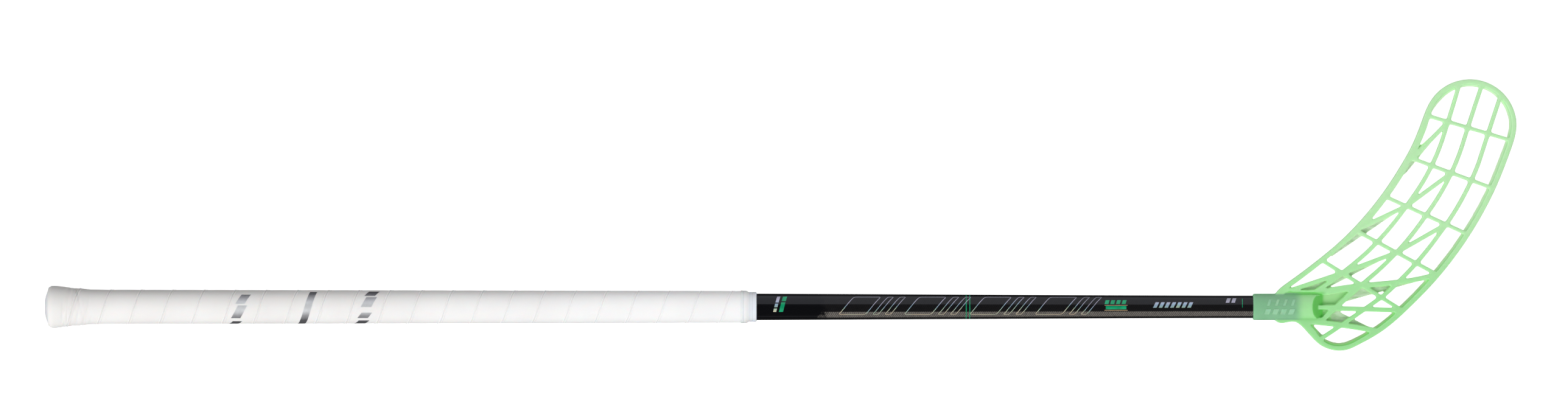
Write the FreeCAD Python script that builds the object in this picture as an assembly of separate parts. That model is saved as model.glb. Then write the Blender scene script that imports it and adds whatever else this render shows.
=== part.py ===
import FreeCAD, Part
import math
import os

# Floorball stick, lying on the floor with the blade's smooth face up.
# Millimetres. +X runs from the butt to the blade along the shaft's axis, +Y towards the toe, +Z up.
# The origin is the centre of the flat disc on the butt end.

os.makedirs("parts", exist_ok=True)
Vector = FreeCAD.Vector

# Shaft: a hollow composite tube, thick under the hands and slim at the blade
shaft_wall = 1.3
shaft_butt_diameter = 24.3
shaft_collar_diameter = 21.9
shaft_lower_diameter = 19.1
shaft_tip_diameter = 18.5
shaft_plug_length = 45.0
shaft_collar_at = 588.0
shaft_lower_at = 880.0
shaft_tip_at = 972.0
shaft_end_at = 1040.2

# Butt cap: a plug in the tube, with a flare under the first turns of the grip and a domed end
cap_end_flat_diameter = 20.0
cap_dome_height = 2.6
cap_dome_diameter = 30.4
cap_head_diameter = 30.7
cap_head_length = 9.5
cap_head_thickness = 4.0
cap_flare_length = 36.0
cap_flare_edge = 0.4
cap_plug_length = 34.0
cap_plug_wall = 2.4
cap_plug_lead = 1.2

# Grip: a cushioned band, wound from the butt to the collar
grip_thickness = 2.3
grip_end_round = 1.5
grip_end_at = 577.0

# Collar: the soft ring that covers the end of the grip
collar_start_at = 574.7
collar_step_at = 580.6
collar_end_at = 587.8
collar_over_grip = 0.35
collar_clearance = 0.05
collar_step_diameter = 24.7
collar_end_diameter = 23.2
collar_end_length = 1.6

# Blade: socket for the shaft
socket_depth = 42.5
socket_wall = 1.7
socket_top_length = 49.0
socket_tip_length = 58.5
socket_tip_level = -2.0

# Blade: depth and hook, measured from the shaft's axis level
rim_near = 5.0
rim_far = 5.0
rib_recess = 2.2
hook_radius = 2600.0
hook_start = (60.0, 5.0)
hook_direction_deg = 63.0
flange_overlap = 0.6
flange_root = 1.4
flange_step = 0.5
recess_step = 0.8
blade_low = -24.0
blade_high = 12.0

# Blade: strips of the lattice
rib_width = 3.3
bar_width = 3.0
brace_width = 3.4
neck_brace_width = 3.3
heel_bar_width = 3.7
playing_brace_width = 3.9
heel_wall_width = 4.2
web_thickness = 1.2
web_rise = 0.4
corner_round = 1.4
sharpest_corner = 50.0
bluntest_corner = 125.0
shortest_side = 2.2
strip_arcs = 4
rim_inside_arcs = 34
cell_depth = 10.0
cutter_margin = 1.0

# Each rim arc: centre, radius, side of the centre (+1 inside the blade), first and last angle, stations,
# width of the rim's face and how far its inner wall leans in over the whole depth.
# Positions in the blade are measured from the centre of the socket's mouth.
rim_arcs = {
    "top_low": ((-283.5, 463.5), 542.4, -1, -54.9, -49.6, 4, 3.9, 0.6),
    "top_middle": ((-124.0, 262.6), 286.4, -1, -42.2, -30.6, 4, 5.7, 0.4),
    "top_high": ((-42.1, 217.0), 192.9, -1, -27.0, -19.0, 3, 5.4, 0.6),
    "toe": ((180.0, 149.9), 38.4, 1, 150.0, 3.0, 8, 4.1, 2.2),
    "playing": ((-88.6, 232.2), 319.0, 1, -19.0, -52.5, 7, 4.4, 2.4),
    "heel": ((71.4, -8.8), 27.4, 1, -58.0, -128.0, 5, 3.9, 3.0),
}
heel_front = [(49.3, -25.4), (41.3, -16.6)]
heel_front_inner = [(53.2, -22.0), (46.6, -14.4)]
heel_front_lean = (1.6, 1.2)
heel_tab = [(35.5, -12.5), (28.0, -12.8), (21.2, -13.0)]
neck_closing = [(18.2, -10.4), (16.8, -3.0), (16.4, 4.5), (18.9, 11.0)]
neck_closing_inner = [(38.0, -6.0), (29.5, 3.5), (27.3, 12.6)]

# Crossbars, from the top edge to the playing edge, and where the ribs cross them
crossbars = [
    ((146.4, 157.7), (210.8, 138.6)),
    ((132.8, 122.5), (196.7, 98.8)),
    ((111.7, 90.3), (175.5, 61.1)),
    ((88.0, 61.6), (150.4, 27.9)),
    ((58.9, 37.5), (121.7, -1.8)),
]
rib_shares = {"A": 0.24, "B": 0.495, "C": 0.755}
rib_toe_ends = {"A": (173.2, 191.0), "B": (192.2, 190.0), "C": (208.4, 183.5)}
heel_cross = (72.9, -15.0)
rib_heel_ends = {"A": [(51.0, 12.0)], "B": [(56.5, -12.0)], "C": [heel_cross, (52.5, -28.8)]}

# Where the braces of the heel and the neck end, and the solid plate between the socket and rib B
rim_reach = 10.0
neck_brace_end = (29.5, 13.2)
neck_point = (50.0, -0.6)
heel_bar_end = (121.7, -2.8)
playing_brace = [(152.0, 26.8), (123.0, 20.9), (90.0, 17.6), (52.0, 11.0)]
heel_wall = [(36.0, -11.4), heel_cross, (108.0, -20.9)]
neck_plate = [(22.0, 13.4), (60.4, 14.0), (90.0, 18.5), (57.0, -11.5), (57.0, -13.0), (34.0, -12.0)]

# Recesses of the neck's smooth face
deep_pockets = [
    [(49.0, 9.0), (58.0, 9.8), (80.3, 13.2), (67.9, 1.5), (49.0, 1.2)],
    [(49.0, -1.9), (63.0, -2.2), (57.0, -8.9), (49.0, -9.2)],
]
neck_groove = [(24.5, 9.6), (25.2, 10.6), (30.8, 13.6), (34.5, 12.6), (50.0, 12.4), (56.0, 11.3), (58.5, 9.6)]
neck_groove_depth = 1.9


def at_blade(x, y, z=0.0):
    """A point given from the socket's mouth, in the stick's frame."""
    return Vector(shaft_end_at - socket_depth + x, y, z)


def shaft_radius(x):
    """Outer radius of the shaft, straight cones between its stations."""
    stations = [
        (0.0, shaft_butt_diameter),
        (shaft_plug_length, shaft_butt_diameter),
        (shaft_collar_at, shaft_collar_diameter),
        (shaft_lower_at, shaft_lower_diameter),
        (shaft_tip_at, shaft_tip_diameter),
        (shaft_end_at, shaft_tip_diameter),
    ]
    for (x0, d0), (x1, d1) in zip(stations, stations[1:]):
        if x <= x1:
            return (d0 + (d1 - d0) * (x - x0) / (x1 - x0)) / 2
    return shaft_tip_diameter / 2


def revolved(profile):
    """A solid of revolution about the shaft's axis from (x, radius) corners."""
    points = [Vector(x, 0, r) for x, r in profile]
    face = Part.Face(Part.makePolygon(points + points[:1]))
    return face.revolve(Vector(0, 0, 0), Vector(1, 0, 0), 360)


def along_shaft(x_from, x_to, offset=0.0):
    """Profile corners that follow the shaft's surface at a distance."""
    inner = [x for x in (shaft_plug_length, shaft_collar_at, shaft_lower_at, shaft_tip_at) if x_from < x < x_to]
    return [(x, shaft_radius(x) + offset) for x in [x_from] + inner + [x_to]]


def shaft():
    outer = along_shaft(cap_head_thickness, shaft_end_at)
    bore = along_shaft(cap_head_thickness, shaft_end_at, -shaft_wall)
    return revolved(outer + bore[::-1])


def cap_flare():
    """Outer profile of the cap from the dome's edge to where the flare meets the shaft."""
    return [
        (cap_dome_height, cap_head_diameter / 2),
        (cap_head_length, cap_head_diameter / 2),
        (cap_flare_length, shaft_radius(cap_flare_length) + cap_flare_edge),
    ]


def butt_cap():
    bore_radius = shaft_butt_diameter / 2 - shaft_wall
    plug_end = cap_head_thickness + cap_plug_length
    shaft_skin = shaft_butt_diameter / 2
    profile = [(0, 0), (0, cap_end_flat_diameter / 2), (cap_dome_height, cap_dome_diameter / 2)]
    profile += cap_flare()
    profile += [
        (cap_flare_length, shaft_skin),
        (cap_head_thickness, shaft_skin),
        (cap_head_thickness, bore_radius),
        (plug_end - cap_plug_lead, bore_radius),
        (plug_end, bore_radius - cap_plug_lead / 2),
        (plug_end, bore_radius - cap_plug_wall),
        (cap_head_thickness, bore_radius - cap_plug_wall),
        (cap_head_thickness, 0),
    ]
    return revolved(profile)


def grip():
    """The wound band: over the cap's flare at the butt, then along the shaft's taper."""
    flare = cap_flare()
    cushion = [(x, r + grip_thickness) for x, r in flare[:-1]]
    start = (cap_dome_height, flare[0][1] + grip_thickness - grip_end_round)
    outer = [start, (cap_dome_height + grip_end_round, cushion[0][1])] + cushion[1:]
    outer += along_shaft(cap_flare_length, grip_end_at, grip_thickness)
    inner = flare + along_shaft(cap_flare_length, grip_end_at)
    return revolved(outer + inner[::-1])


def collar():
    """The ring over the grip's end: wide on the grip, a step down, a short taper to the shaft."""
    over = grip_thickness + collar_over_grip
    outer = [
        (collar_start_at, shaft_radius(collar_start_at) + over),
        (grip_end_at + collar_clearance, shaft_radius(grip_end_at) + over),
        (collar_step_at, collar_step_diameter / 2),
        (collar_end_at - collar_end_length, collar_step_diameter / 2),
        (collar_end_at, collar_end_diameter / 2),
    ]
    inner = [
        (collar_start_at, shaft_radius(collar_start_at) + grip_thickness + collar_clearance),
        (grip_end_at + collar_clearance, shaft_radius(grip_end_at) + grip_thickness + collar_clearance),
        (grip_end_at + collar_clearance, shaft_radius(grip_end_at) + collar_clearance),
        (collar_end_at, shaft_radius(collar_end_at) + collar_clearance),
    ]
    return revolved(outer + inner[::-1])


def hook_drop(x, y):
    """How far the hooked blade has bent down at a point."""
    angle = math.radians(hook_direction_deg)
    along = (x - hook_start[0]) * math.cos(angle) + (y - hook_start[1]) * math.sin(angle)
    return hook_radius - math.sqrt(hook_radius**2 - max(along, 0.0) ** 2)


def hooked_slab(near, far):
    """The space between two levels of the hooked blade: flat at the neck, then on one long arc."""
    level_length, bent_length, half_width = 130.0, 260.0, 170.0
    turn = bent_length / hook_radius

    def on_arc(level, angle):
        r = hook_radius + level
        return Vector(r * math.sin(angle), -half_width, r * math.cos(angle) - hook_radius)

    def arc(level, start, end):
        return Part.Arc(on_arc(level, start), on_arc(level, turn / 2), on_arc(level, end)).toShape()

    def line(a, b):
        return Part.makeLine(a, b)

    edges = [
        line(Vector(-level_length, -half_width, near), on_arc(near, 0)),
        arc(near, 0, turn),
        line(on_arc(near, turn), on_arc(far, turn)),
        arc(far, turn, 0),
        line(on_arc(far, 0), Vector(-level_length, -half_width, far)),
        line(Vector(-level_length, -half_width, far), Vector(-level_length, -half_width, near)),
    ]
    slab = Part.Face(Part.Wire(edges)).extrude(Vector(0, 2 * half_width, 0))
    slab.rotate(Vector(0, 0, 0), Vector(0, 0, 1), hook_direction_deg)
    slab.translate(at_blade(*hook_start))
    return slab


def arc_station(arc, angle_deg, inset):
    (cx, cy), radius, side = arc[:3]
    angle = math.radians(angle_deg)
    r = radius - side * inset
    return cx + r * math.cos(angle), cy + r * math.sin(angle)


def closed_curve(points, z):
    curve = Part.BSplineCurve()
    curve.interpolate(Points=[at_blade(x, y, z) for x, y in points], PeriodicFlag=True)
    return Part.Wire(curve.toShape())


def rim_outline():
    """The blade's outer edge, from the neck over the toe to the heel, closed inside the socket."""
    points = []
    for arc in rim_arcs.values():
        first, last, count = arc[3:6]
        points += [arc_station(arc, first + (last - first) * k / (count - 1), 0) for k in range(count)]
    return closed_curve(points + heel_front + heel_tab + neck_closing, blade_low)


def rim_inside(z=None, step=0.0):
    """The rim's inner edge, a step further in, or at a level of its leaning inner wall."""
    points = []
    for arc in rim_arcs.values():
        first, last, count, width, lean = arc[3:]
        for k in range(count):
            angle = first + (last - first) * k / (count - 1)
            below_face = 0.0 if z is None else rim_near - hook_drop(*arc_station(arc, angle, 0)) - z
            inset = width + step + (lean - step) * below_face / (rim_near + rim_far)
            points.append(arc_station(arc, angle, inset))
    below_face = 0.0 if z is None else (rim_near - z) / (rim_near + rim_far)
    lean_x, lean_y = heel_front_lean
    points += [(x + lean_x * below_face, y + lean_y * below_face) for x, y in heel_front_inner]
    return closed_curve(points + neck_closing_inner, blade_low if z is None else z)


def tall(plan):
    """An upright prism through the whole depth of the blade, from a face, a wire or corner points."""
    face = plan if isinstance(plan, Part.Shape) and plan.Faces else flat(plan)
    return face.extrude(Vector(0, 0, blade_high - blade_low))


def flat(wire_or_points):
    """A flat face under the blade, from a closed wire or from corner points."""
    if isinstance(wire_or_points, list):
        corners = [at_blade(x, y, blade_low) for x, y in wire_or_points]
        wire_or_points = Part.makePolygon(corners + corners[:1])
    return Part.Face(wire_or_points)


def arcs_through(points):
    """A chain of circular arcs, each through the next three points."""
    return [Part.Arc(*points[k:k + 3]).toShape() for k in range(0, len(points) - 2, 2)]


def strip(points, width):
    """The plan of a wall of even width along a smooth line through the points."""
    curve = Part.BSplineCurve()
    curve.interpolate([at_blade(x, y, blade_low) for x, y in points])
    left, right = [], []
    for k in range(2 * strip_arcs + 1):
        t = curve.FirstParameter + (curve.LastParameter - curve.FirstParameter) * k / (2 * strip_arcs)
        direction = curve.tangent(t)[0]
        half = Vector(-direction.y, direction.x, 0) * (width / 2)
        left.append(curve.value(t) + half)
        right.insert(0, curve.value(t) - half)
    end = Part.makeLine(left[-1], right[0])
    start = Part.makeLine(right[-1], left[0])
    return Part.Face(Part.Wire(arcs_through(left) + [end] + arcs_through(right) + [start]))


def bar(a, b, width, reach_a=0.0, reach_b=0.0):
    """The plan of a straight wall between two points, with pointed ends that may reach past them."""
    (ax, ay), (bx, by) = a, b
    length = math.hypot(bx - ax, by - ay)
    dx, dy = (bx - ax) / length, (by - ay) / length

    def corner(along, across):
        return ax + dx * along - dy * across, ay + dy * along + dx * across

    half = width / 2
    start, end = -reach_a, length + reach_b
    upper = [corner(start, 0), corner(start + half, half), corner(end - half, half), corner(end, 0)]
    return flat(upper + [corner(end - half, -half), corner(start + half, -half)])


def node(rib, k):
    """Where a rib crosses a crossbar."""
    (ax, ay), (bx, by) = crossbars[k]
    share = rib_shares[rib]
    return ax + (bx - ax) * share, ay + (by - ay) * share


def lattice():
    """Plans of all walls inside the rim: ribs, crossbars, braces and the solid neck."""
    walls = []
    for rib in rib_shares:
        points = [rib_toe_ends[rib]] + [node(rib, k) for k in range(len(crossbars))] + rib_heel_ends[rib]
        walls.append(strip(points, rib_width))
    for a, b in crossbars:
        walls.append(bar(a, b, bar_width, rim_reach, rim_reach))
    for a, b in rim_braces():
        walls.append(bar(a, b, brace_width, 0, rim_reach))
    for a, b in inner_braces():
        walls.append(bar(a, b, brace_width))
    walls.append(bar(node("A", 4), neck_brace_end, neck_brace_width, 0, rim_reach))
    walls.append(bar(neck_point, heel_bar_end, heel_bar_width, 0, rim_reach))
    walls.append(strip(playing_brace, playing_brace_width))
    walls.append(strip(heel_wall, heel_wall_width))
    walls.append(flat(neck_plate))
    return walls


def rim_braces():
    """Slanted walls from a node of rib A down to the top edge."""
    return [(node("A", 0), (137.5, 128.0)), (node("A", 2), (94.0, 67.8))]


def inner_braces():
    """Slanted walls from node to node."""
    return [(node("B", 1), node("A", 2)), (node("C", 2), node("B", 3)), (node("B", 3), node("A", 4))]


def webs():
    """Thin membranes near the far face, beside the braces."""
    panels = [
        [node("A", 0), (137.0, 132.0), (125.8, 108.9)],
        [node("A", 2), (93.1, 69.0), (65.4, 41.5)],
        [node("B", 3), (73.9, 29.0), (61.4, 15.3)],
        [(141.3, 22.4), (121.7, 22.4), node("B", 4), (75.5, 3.8)],
        [(58.0, -10.0), (67.4, -1.8), (99.1, -17.9), (72.9, -15.5)],
        [(30.0, 14.0), (62.0, 21.6), (60.0, 12.0)],
        [(46.0, -12.5), (50.5, -13.5), (50.5, -15.8), (57.5, -22.9), (54.5, -24.0)],
    ]
    level = -rim_far + rib_recess + web_rise
    sheet = hooked_slab(level + web_thickness, level)
    return [tall(panel).common(sheet) for panel in panels]


def windows():
    """Outlines of the lattice's windows, with rounded corners."""
    inside = Part.Wire(arcs_through(rim_inside().discretize(2 * rim_inside_arcs + 1)))
    outlines = []
    for plan in flat(inside).cut(lattice()).Faces:
        cell = plan.extrude(Vector(0, 0, cell_depth))
        corners = []
        for edge in cell.Edges:
            if len(edge.Vertexes) < 2 or abs(edge.Vertexes[0].Z - edge.Vertexes[1].Z) < cell_depth / 2:
                continue
            middle = (edge.Vertexes[0].Point + edge.Vertexes[1].Point) * 0.5
            sides = cell.ancestorsOfType(edge, Part.Face)
            normals = [side.normalAt(*side.Surface.parameter(middle)) for side in sides]
            opening = 180 - math.degrees(normals[0].getAngle(normals[1]))
            shorter_side = min(side.Area for side in sides) / cell_depth
            if sharpest_corner < opening < bluntest_corner and shorter_side > shortest_side:
                corners.append(edge)
        if corners:
            cell = cell.makeFillet(corner_round, corners)
        floor = min(cell.Faces, key=lambda face: face.CenterOfMass.z)
        outlines.append(floor.OuterWire)
    return outlines


def socket():
    """The tube round the shaft's end, cut by two slopes that meet at its tip in the webs' level."""
    radius = shaft_tip_diameter / 2 + socket_wall
    over = radius + cutter_margin
    slope_length = socket_tip_length - socket_top_length

    def slope_at(level):
        share = (level - socket_tip_level) / (math.copysign(radius, level) - socket_tip_level)
        return socket_tip_length - slope_length * share

    side = [(-cutter_margin, -over), (-cutter_margin, over), (slope_at(over), over)]
    side += [(socket_tip_length, socket_tip_level), (slope_at(-over), -over)]
    corners = [at_blade(x, -over, z) for x, z in side]
    wedge = Part.Face(Part.makePolygon(corners + corners[:1])).extrude(Vector(0, 2 * over, 0))
    tube = Part.makeCylinder(radius, socket_tip_length, at_blade(0, 0), Vector(1, 0, 0))
    return tube.common(wedge)


def neck_pockets():
    """Recesses in the smooth face beside the socket: two deep ones down to a web, and a shallow groove."""
    web_top = -rim_far + rib_recess + web_rise + web_thickness
    deep = hooked_slab(rim_near + cutter_margin, web_top)
    shallow = hooked_slab(rim_near + cutter_margin, rim_near - neck_groove_depth)
    cuts = [tall(pocket).common(deep) for pocket in deep_pockets]
    return cuts + [tall(neck_groove).common(shallow)]


def rim_flange():
    """The leaning inner wall of the rim, which widens it towards the far face."""
    high = rim_near
    low = blade_low + cutter_margin
    lean = Part.makeLoft([rim_inside(high, -flange_overlap), rim_inside(low, -flange_overlap)], True, True)
    ring = tall(rim_inside(None, -flange_overlap - flange_root)).cut(lean)
    return ring.common(hooked_slab(rim_near - flange_step, -rim_far + flange_step))


def blade():
    plan = Part.makeFace([rim_outline()] + windows(), "Part::FaceMakerBullseye")
    body = tall(plan).common(hooked_slab(rim_near, -rim_far))
    recess = tall(rim_inside(None, recess_step)).common(hooked_slab(-rim_far + rib_recess, blade_low))
    body = body.cut([recess] + neck_pockets())
    body = body.fuse([rim_flange(), socket()] + webs())
    bore = Part.makeCylinder(shaft_tip_diameter / 2, socket_depth, at_blade(0, 0), Vector(1, 0, 0))
    return body.cut(bore)


def write(name, shape):
    solids = shape.Solids
    print(name, len(solids), "solid", round(shape.Volume / 1000, 2), "cm3", "valid", shape.isValid())
    shape.exportStep("parts/" + name + ".step")


write("shaft_tube", shaft())
write("butt_cap", butt_cap())
write("grip_band", grip())
write("finishing_collar", collar())
write("blade", blade())
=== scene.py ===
# %% [markdown]
# # Dressing a floorball stick
#
# The stick is already built as exact solids: a hollow shaft, a butt cap, a grip, a collar and a lattice blade. This
# lesson dresses them for a studio picture. The solids say where everything is, so each step starts from their sizes
# and stays inside them. Everything is in metres, with the shaft along X, the toe of the blade towards +Y and the
# blade's smooth face up.

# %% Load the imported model
import math

import bpy
import numpy as np
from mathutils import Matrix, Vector


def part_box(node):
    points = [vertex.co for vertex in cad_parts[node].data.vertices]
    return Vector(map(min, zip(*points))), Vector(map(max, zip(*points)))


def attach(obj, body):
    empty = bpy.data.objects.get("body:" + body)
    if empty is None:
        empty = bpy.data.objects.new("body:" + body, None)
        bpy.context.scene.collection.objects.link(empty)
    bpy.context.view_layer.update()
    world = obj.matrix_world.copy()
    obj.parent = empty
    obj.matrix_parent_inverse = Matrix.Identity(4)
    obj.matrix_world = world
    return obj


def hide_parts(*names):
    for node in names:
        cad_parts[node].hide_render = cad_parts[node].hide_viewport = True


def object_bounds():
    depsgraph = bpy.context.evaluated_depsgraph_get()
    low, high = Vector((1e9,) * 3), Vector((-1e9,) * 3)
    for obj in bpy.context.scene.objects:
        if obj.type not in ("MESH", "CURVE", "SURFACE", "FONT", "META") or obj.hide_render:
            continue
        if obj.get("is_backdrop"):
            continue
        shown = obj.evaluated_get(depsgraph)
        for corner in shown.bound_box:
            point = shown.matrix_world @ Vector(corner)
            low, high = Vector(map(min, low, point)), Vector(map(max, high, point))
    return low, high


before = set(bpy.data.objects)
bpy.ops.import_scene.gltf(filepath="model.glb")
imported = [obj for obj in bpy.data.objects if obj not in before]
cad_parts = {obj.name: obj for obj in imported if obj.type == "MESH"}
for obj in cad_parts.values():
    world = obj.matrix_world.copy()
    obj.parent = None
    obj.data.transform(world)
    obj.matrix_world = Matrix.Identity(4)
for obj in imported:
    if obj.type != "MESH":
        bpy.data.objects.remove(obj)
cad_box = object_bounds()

MM = 0.001
scene = bpy.context.scene
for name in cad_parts:
    low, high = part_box(name)
    print(name, "from", [round(c / MM, 1) for c in low], "to", [round(c / MM, 1) for c in high], "mm")


# %% [markdown]
# ## The camera
#
# The photograph looks straight down on the stick, and the stick fills the width of a very wide picture. A long lens
# far away keeps the lattice's walls nearly upright in the picture, as they are there. The camera points down by
# itself when it isn't turned, so only its place and its lens are set.

# %% Camera above the stick
picture_width = 1.2957
lens = 240.0
sensor = 36.0
camera_data = bpy.data.cameras.new("camera")
camera_data.lens = lens
camera_data.sensor_width = sensor
camera_data.clip_end = 50.0
camera = bpy.data.objects.new("camera", camera_data)
camera.location = (0.6104, 0.0830, picture_width * lens / sensor)
scene.collection.objects.link(camera)
scene.camera = camera
scene.view_settings.view_transform = "Standard"
print("camera height", round(camera.location.z, 3), "m")


# %% [markdown]
# ## Node helpers
#
# Every finish here is made of shader nodes, so it has no pictures and follows the shape at any size. A small helper
# that adds a node, sets its values and links its inputs keeps the recipes short enough to read. Each recipe starts
# from a new material with one Principled shader.

# %% Helpers for materials
class Recipe:
    """A material with one Principled shader and short calls that add nodes to it."""

    def __init__(self, name, **values):
        self.material = bpy.data.materials.new(name)
        self.material.use_nodes = True
        self.nodes = self.material.node_tree.nodes
        self.links = self.material.node_tree.links
        self.shader = self.nodes["Principled BSDF"]
        for socket, value in values.items():
            self.shader.inputs[socket.replace("_", " ")].default_value = value

    def add(self, kind, *inputs, **settings):
        """A new node. Inputs are numbers, colours or outputs of other nodes, in the order of its sockets."""
        made = self.nodes.new(kind)
        for key, value in settings.items():
            setattr(made, key, value)
        for place, value in enumerate(inputs):
            if isinstance(value, bpy.types.NodeSocket):
                self.links.new(value, made.inputs[place])
            elif value is not None:
                made.inputs[place].default_value = value
        return made

    def math(self, operation, *inputs):
        return self.add("ShaderNodeMath", *inputs, operation=operation).outputs[0]

    def smooth(self, value, start, end, low=0.0, high=1.0):
        """A soft step from low to high while the value goes from start to end."""
        made = self.add("ShaderNodeMapRange", value, start, end, low, high, interpolation_type="SMOOTHSTEP")
        return made.outputs[0]

    def place(self):
        """The point's x, y and z in metres, in the stick's frame."""
        where = self.add("ShaderNodeTexCoord").outputs["Object"]
        return where, self.add("ShaderNodeSeparateXYZ", where).outputs

    def stored(self, name):
        """A number that was stored on the mesh's points."""
        return self.add("ShaderNodeAttribute", attribute_name=name).outputs["Fac"]

    def noise(self, where, scale, detail=3.0, stretch=(1, 1, 1)):
        """Soft random values; scale is in features for each metre."""
        mapped = self.add("ShaderNodeMapping", where, None, None, stretch).outputs[0]
        return self.add("ShaderNodeTexNoise", mapped, None, scale, detail).outputs[0]

    def ramp(self, value, *stops):
        """Colours at places from 0 to 1."""
        made = self.add("ShaderNodeValToRGB", value)
        bar = made.color_ramp
        while len(bar.elements) < len(stops):
            bar.elements.new(0.5)
        for element, (place, colour) in zip(bar.elements, stops):
            element.position = place
            element.color = (*colour, 1)
        return made.outputs[0]

    def mix(self, share, first, second):
        made = self.add("ShaderNodeMix", data_type="RGBA")
        for socket, value in zip((made.inputs[0], made.inputs[6], made.inputs[7]), (share, first, second)):
            if isinstance(value, bpy.types.NodeSocket):
                self.links.new(value, socket)
            elif isinstance(value, tuple):
                socket.default_value = (*value, 1)
            else:
                socket.default_value = value
        return made.outputs[2]

    def to(self, socket, output):
        self.links.new(output, self.shader.inputs[socket])

    def bump(self, height, distance, strength=1.0):
        """Fine relief that is too small to model; distance is its depth in metres."""
        made = self.add("ShaderNodeBump", strength, distance)
        self.links.new(height, made.inputs["Height"])
        self.to("Normal", made.outputs[0])


def finish_with(piece, recipe):
    """Gives a piece one material and the body it rides on."""
    piece.data.materials.clear()
    piece.data.materials.append(recipe.material)
    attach(piece, "root")
    print(piece.name, "is finished with", recipe.material.name + ":", len(recipe.nodes), "nodes")


# %% [markdown]
# ## The floor and the light
#
# The photograph has a pure white ground without a shadow. A real white floor is never that white under the light
# that suits the stick, so this floor glows a little by itself, which also softens the shadows. It is marked as a
# stage, so it doesn't count as part of the stick. The stick neither mirrors it nor is lit by it, because the shaft's
# gloss should show the dark and grey sides of the studio. A lamp below the blade stands in for the light from the
# ground instead.

# %% Floor
low, high = cad_box
floor_data = bpy.data.meshes.new("floor")
half, floor_gap = 6.0, 0.0002
floor_z = low.z - floor_gap
corners = [(-half, -half, floor_z), (half, -half, floor_z), (half, half, floor_z), (-half, half, floor_z)]
floor_data.from_pydata(corners, [], [(0, 1, 2, 3)])
floor = bpy.data.objects.new("floor", floor_data)
scene.collection.objects.link(floor)
floor.visible_glossy = False
floor.visible_diffuse = False
floor.visible_shadow = False
floor_paint = Recipe(
    "studio floor",
    Base_Color=(0.4, 0.4, 0.4, 1),
    Roughness=0.9,
    Emission_Color=(1, 1, 1, 1),
    Emission_Strength=0.95,
)
floor_data.materials.append(floor_paint.material)
floor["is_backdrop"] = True
print("floor at", round(floor_z / MM, 2), "mm")


# %% [markdown]
# ## Studio walls and lamps
#
# Gloss black shows nothing but its surroundings, so the surroundings are the finish. In the photograph the upper half
# of the shaft is an even charcoal with a sharp lower edge: the reflection of a grey wall behind the stick. The lower
# half is nearly black, with one fine line. The world's colour therefore depends on direction: grey from 24 degrees
# off the zenith down on the far side, dark elsewhere, and a thin bright line low on the near side. The main lamp is a
# long soft box on the near side, which lights the pale grip from below in the picture. Four small ones help it: one
# for the far side, one under the blade, one that grazes the butt and brings out the folds of its flare, and one close
# to the collar, where the far edge of the grip is brightest in the photograph.

# %% World
world = bpy.data.worlds.new("studio")
scene.world = world
world.use_nodes = True
tree = world.node_tree
tree.nodes.clear()


def world_node(kind, **settings):
    made = tree.nodes.new(kind)
    for key, value in settings.items():
        setattr(made, key, value)
    return made


def world_step(angle, start, end, low, high):
    """A soft step over the angle from the zenith, in degrees, positive on the far side."""
    made = world_node("ShaderNodeMapRange", interpolation_type="SMOOTHSTEP")
    tree.links.new(angle, made.inputs[0])
    for place, value in enumerate((math.radians(start), math.radians(end), low, high)):
        made.inputs[place + 1].default_value = value
    return made.outputs[0]


def world_sum(*parts):
    total = parts[0]
    for part in parts[1:]:
        made = world_node("ShaderNodeMath", operation="ADD")
        tree.links.new(total, made.inputs[0])
        tree.links.new(part, made.inputs[1])
        total = made.outputs[0]
    return total


direction = world_node("ShaderNodeTexCoord")
split = world_node("ShaderNodeSeparateXYZ")
tree.links.new(direction.outputs["Generated"], split.inputs[0])
zenith_angle = world_node("ShaderNodeMath", operation="ARCTAN2")
tree.links.new(split.outputs[1], zenith_angle.inputs[0])
tree.links.new(split.outputs[2], zenith_angle.inputs[1])
angle = zenith_angle.outputs[0]


def background(colour, strength):
    made = world_node("ShaderNodeBackground")
    made.inputs[0].default_value = (*colour, 1)
    if isinstance(strength, bpy.types.NodeSocket):
        tree.links.new(strength, made.inputs[1])
    else:
        made.inputs[1].default_value = strength
    return made.outputs[0]


def chosen(ray, otherwise, shown):
    """One background for a kind of ray, another for the rest."""
    made = world_node("ShaderNodeMixShader")
    tree.links.new(rays.outputs[ray], made.inputs[0])
    tree.links.new(otherwise, made.inputs[1])
    tree.links.new(shown, made.inputs[2])
    return made.outputs[0]


wall_grey, dark_side = 0.50, 0.012
mirrored = world_sum(
    world_step(angle, 23.4, 24.4, dark_side, wall_grey),
    world_step(angle, 100, 125, 0.0, -wall_grey + dark_side),
    world_step(angle, -96, -94, 0.0, 0.35),
    world_step(angle, -92, -90, 0.0, -0.35),
)
around, near_side = 0.36, 0.24
soft = world_sum(
    world_step(angle, -180, 180, around, around),
    world_step(angle, -20, -100, 0.0, near_side),
)
rays = world_node("ShaderNodeLightPath")
in_gloss = background((0.94, 0.96, 1.08), mirrored)
even = background((1.0, 0.995, 0.985), soft)
behind_all = background((0.95, 0.95, 0.95), 1.0)
light = chosen("Is Camera Ray", chosen("Is Glossy Ray", even, in_gloss), behind_all)
world_out = world_node("ShaderNodeOutputWorld")
tree.links.new(light, world_out.inputs[0])
print("studio: grey wall", wall_grey, "in reflections, even light", around, "to", around + near_side)


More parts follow.
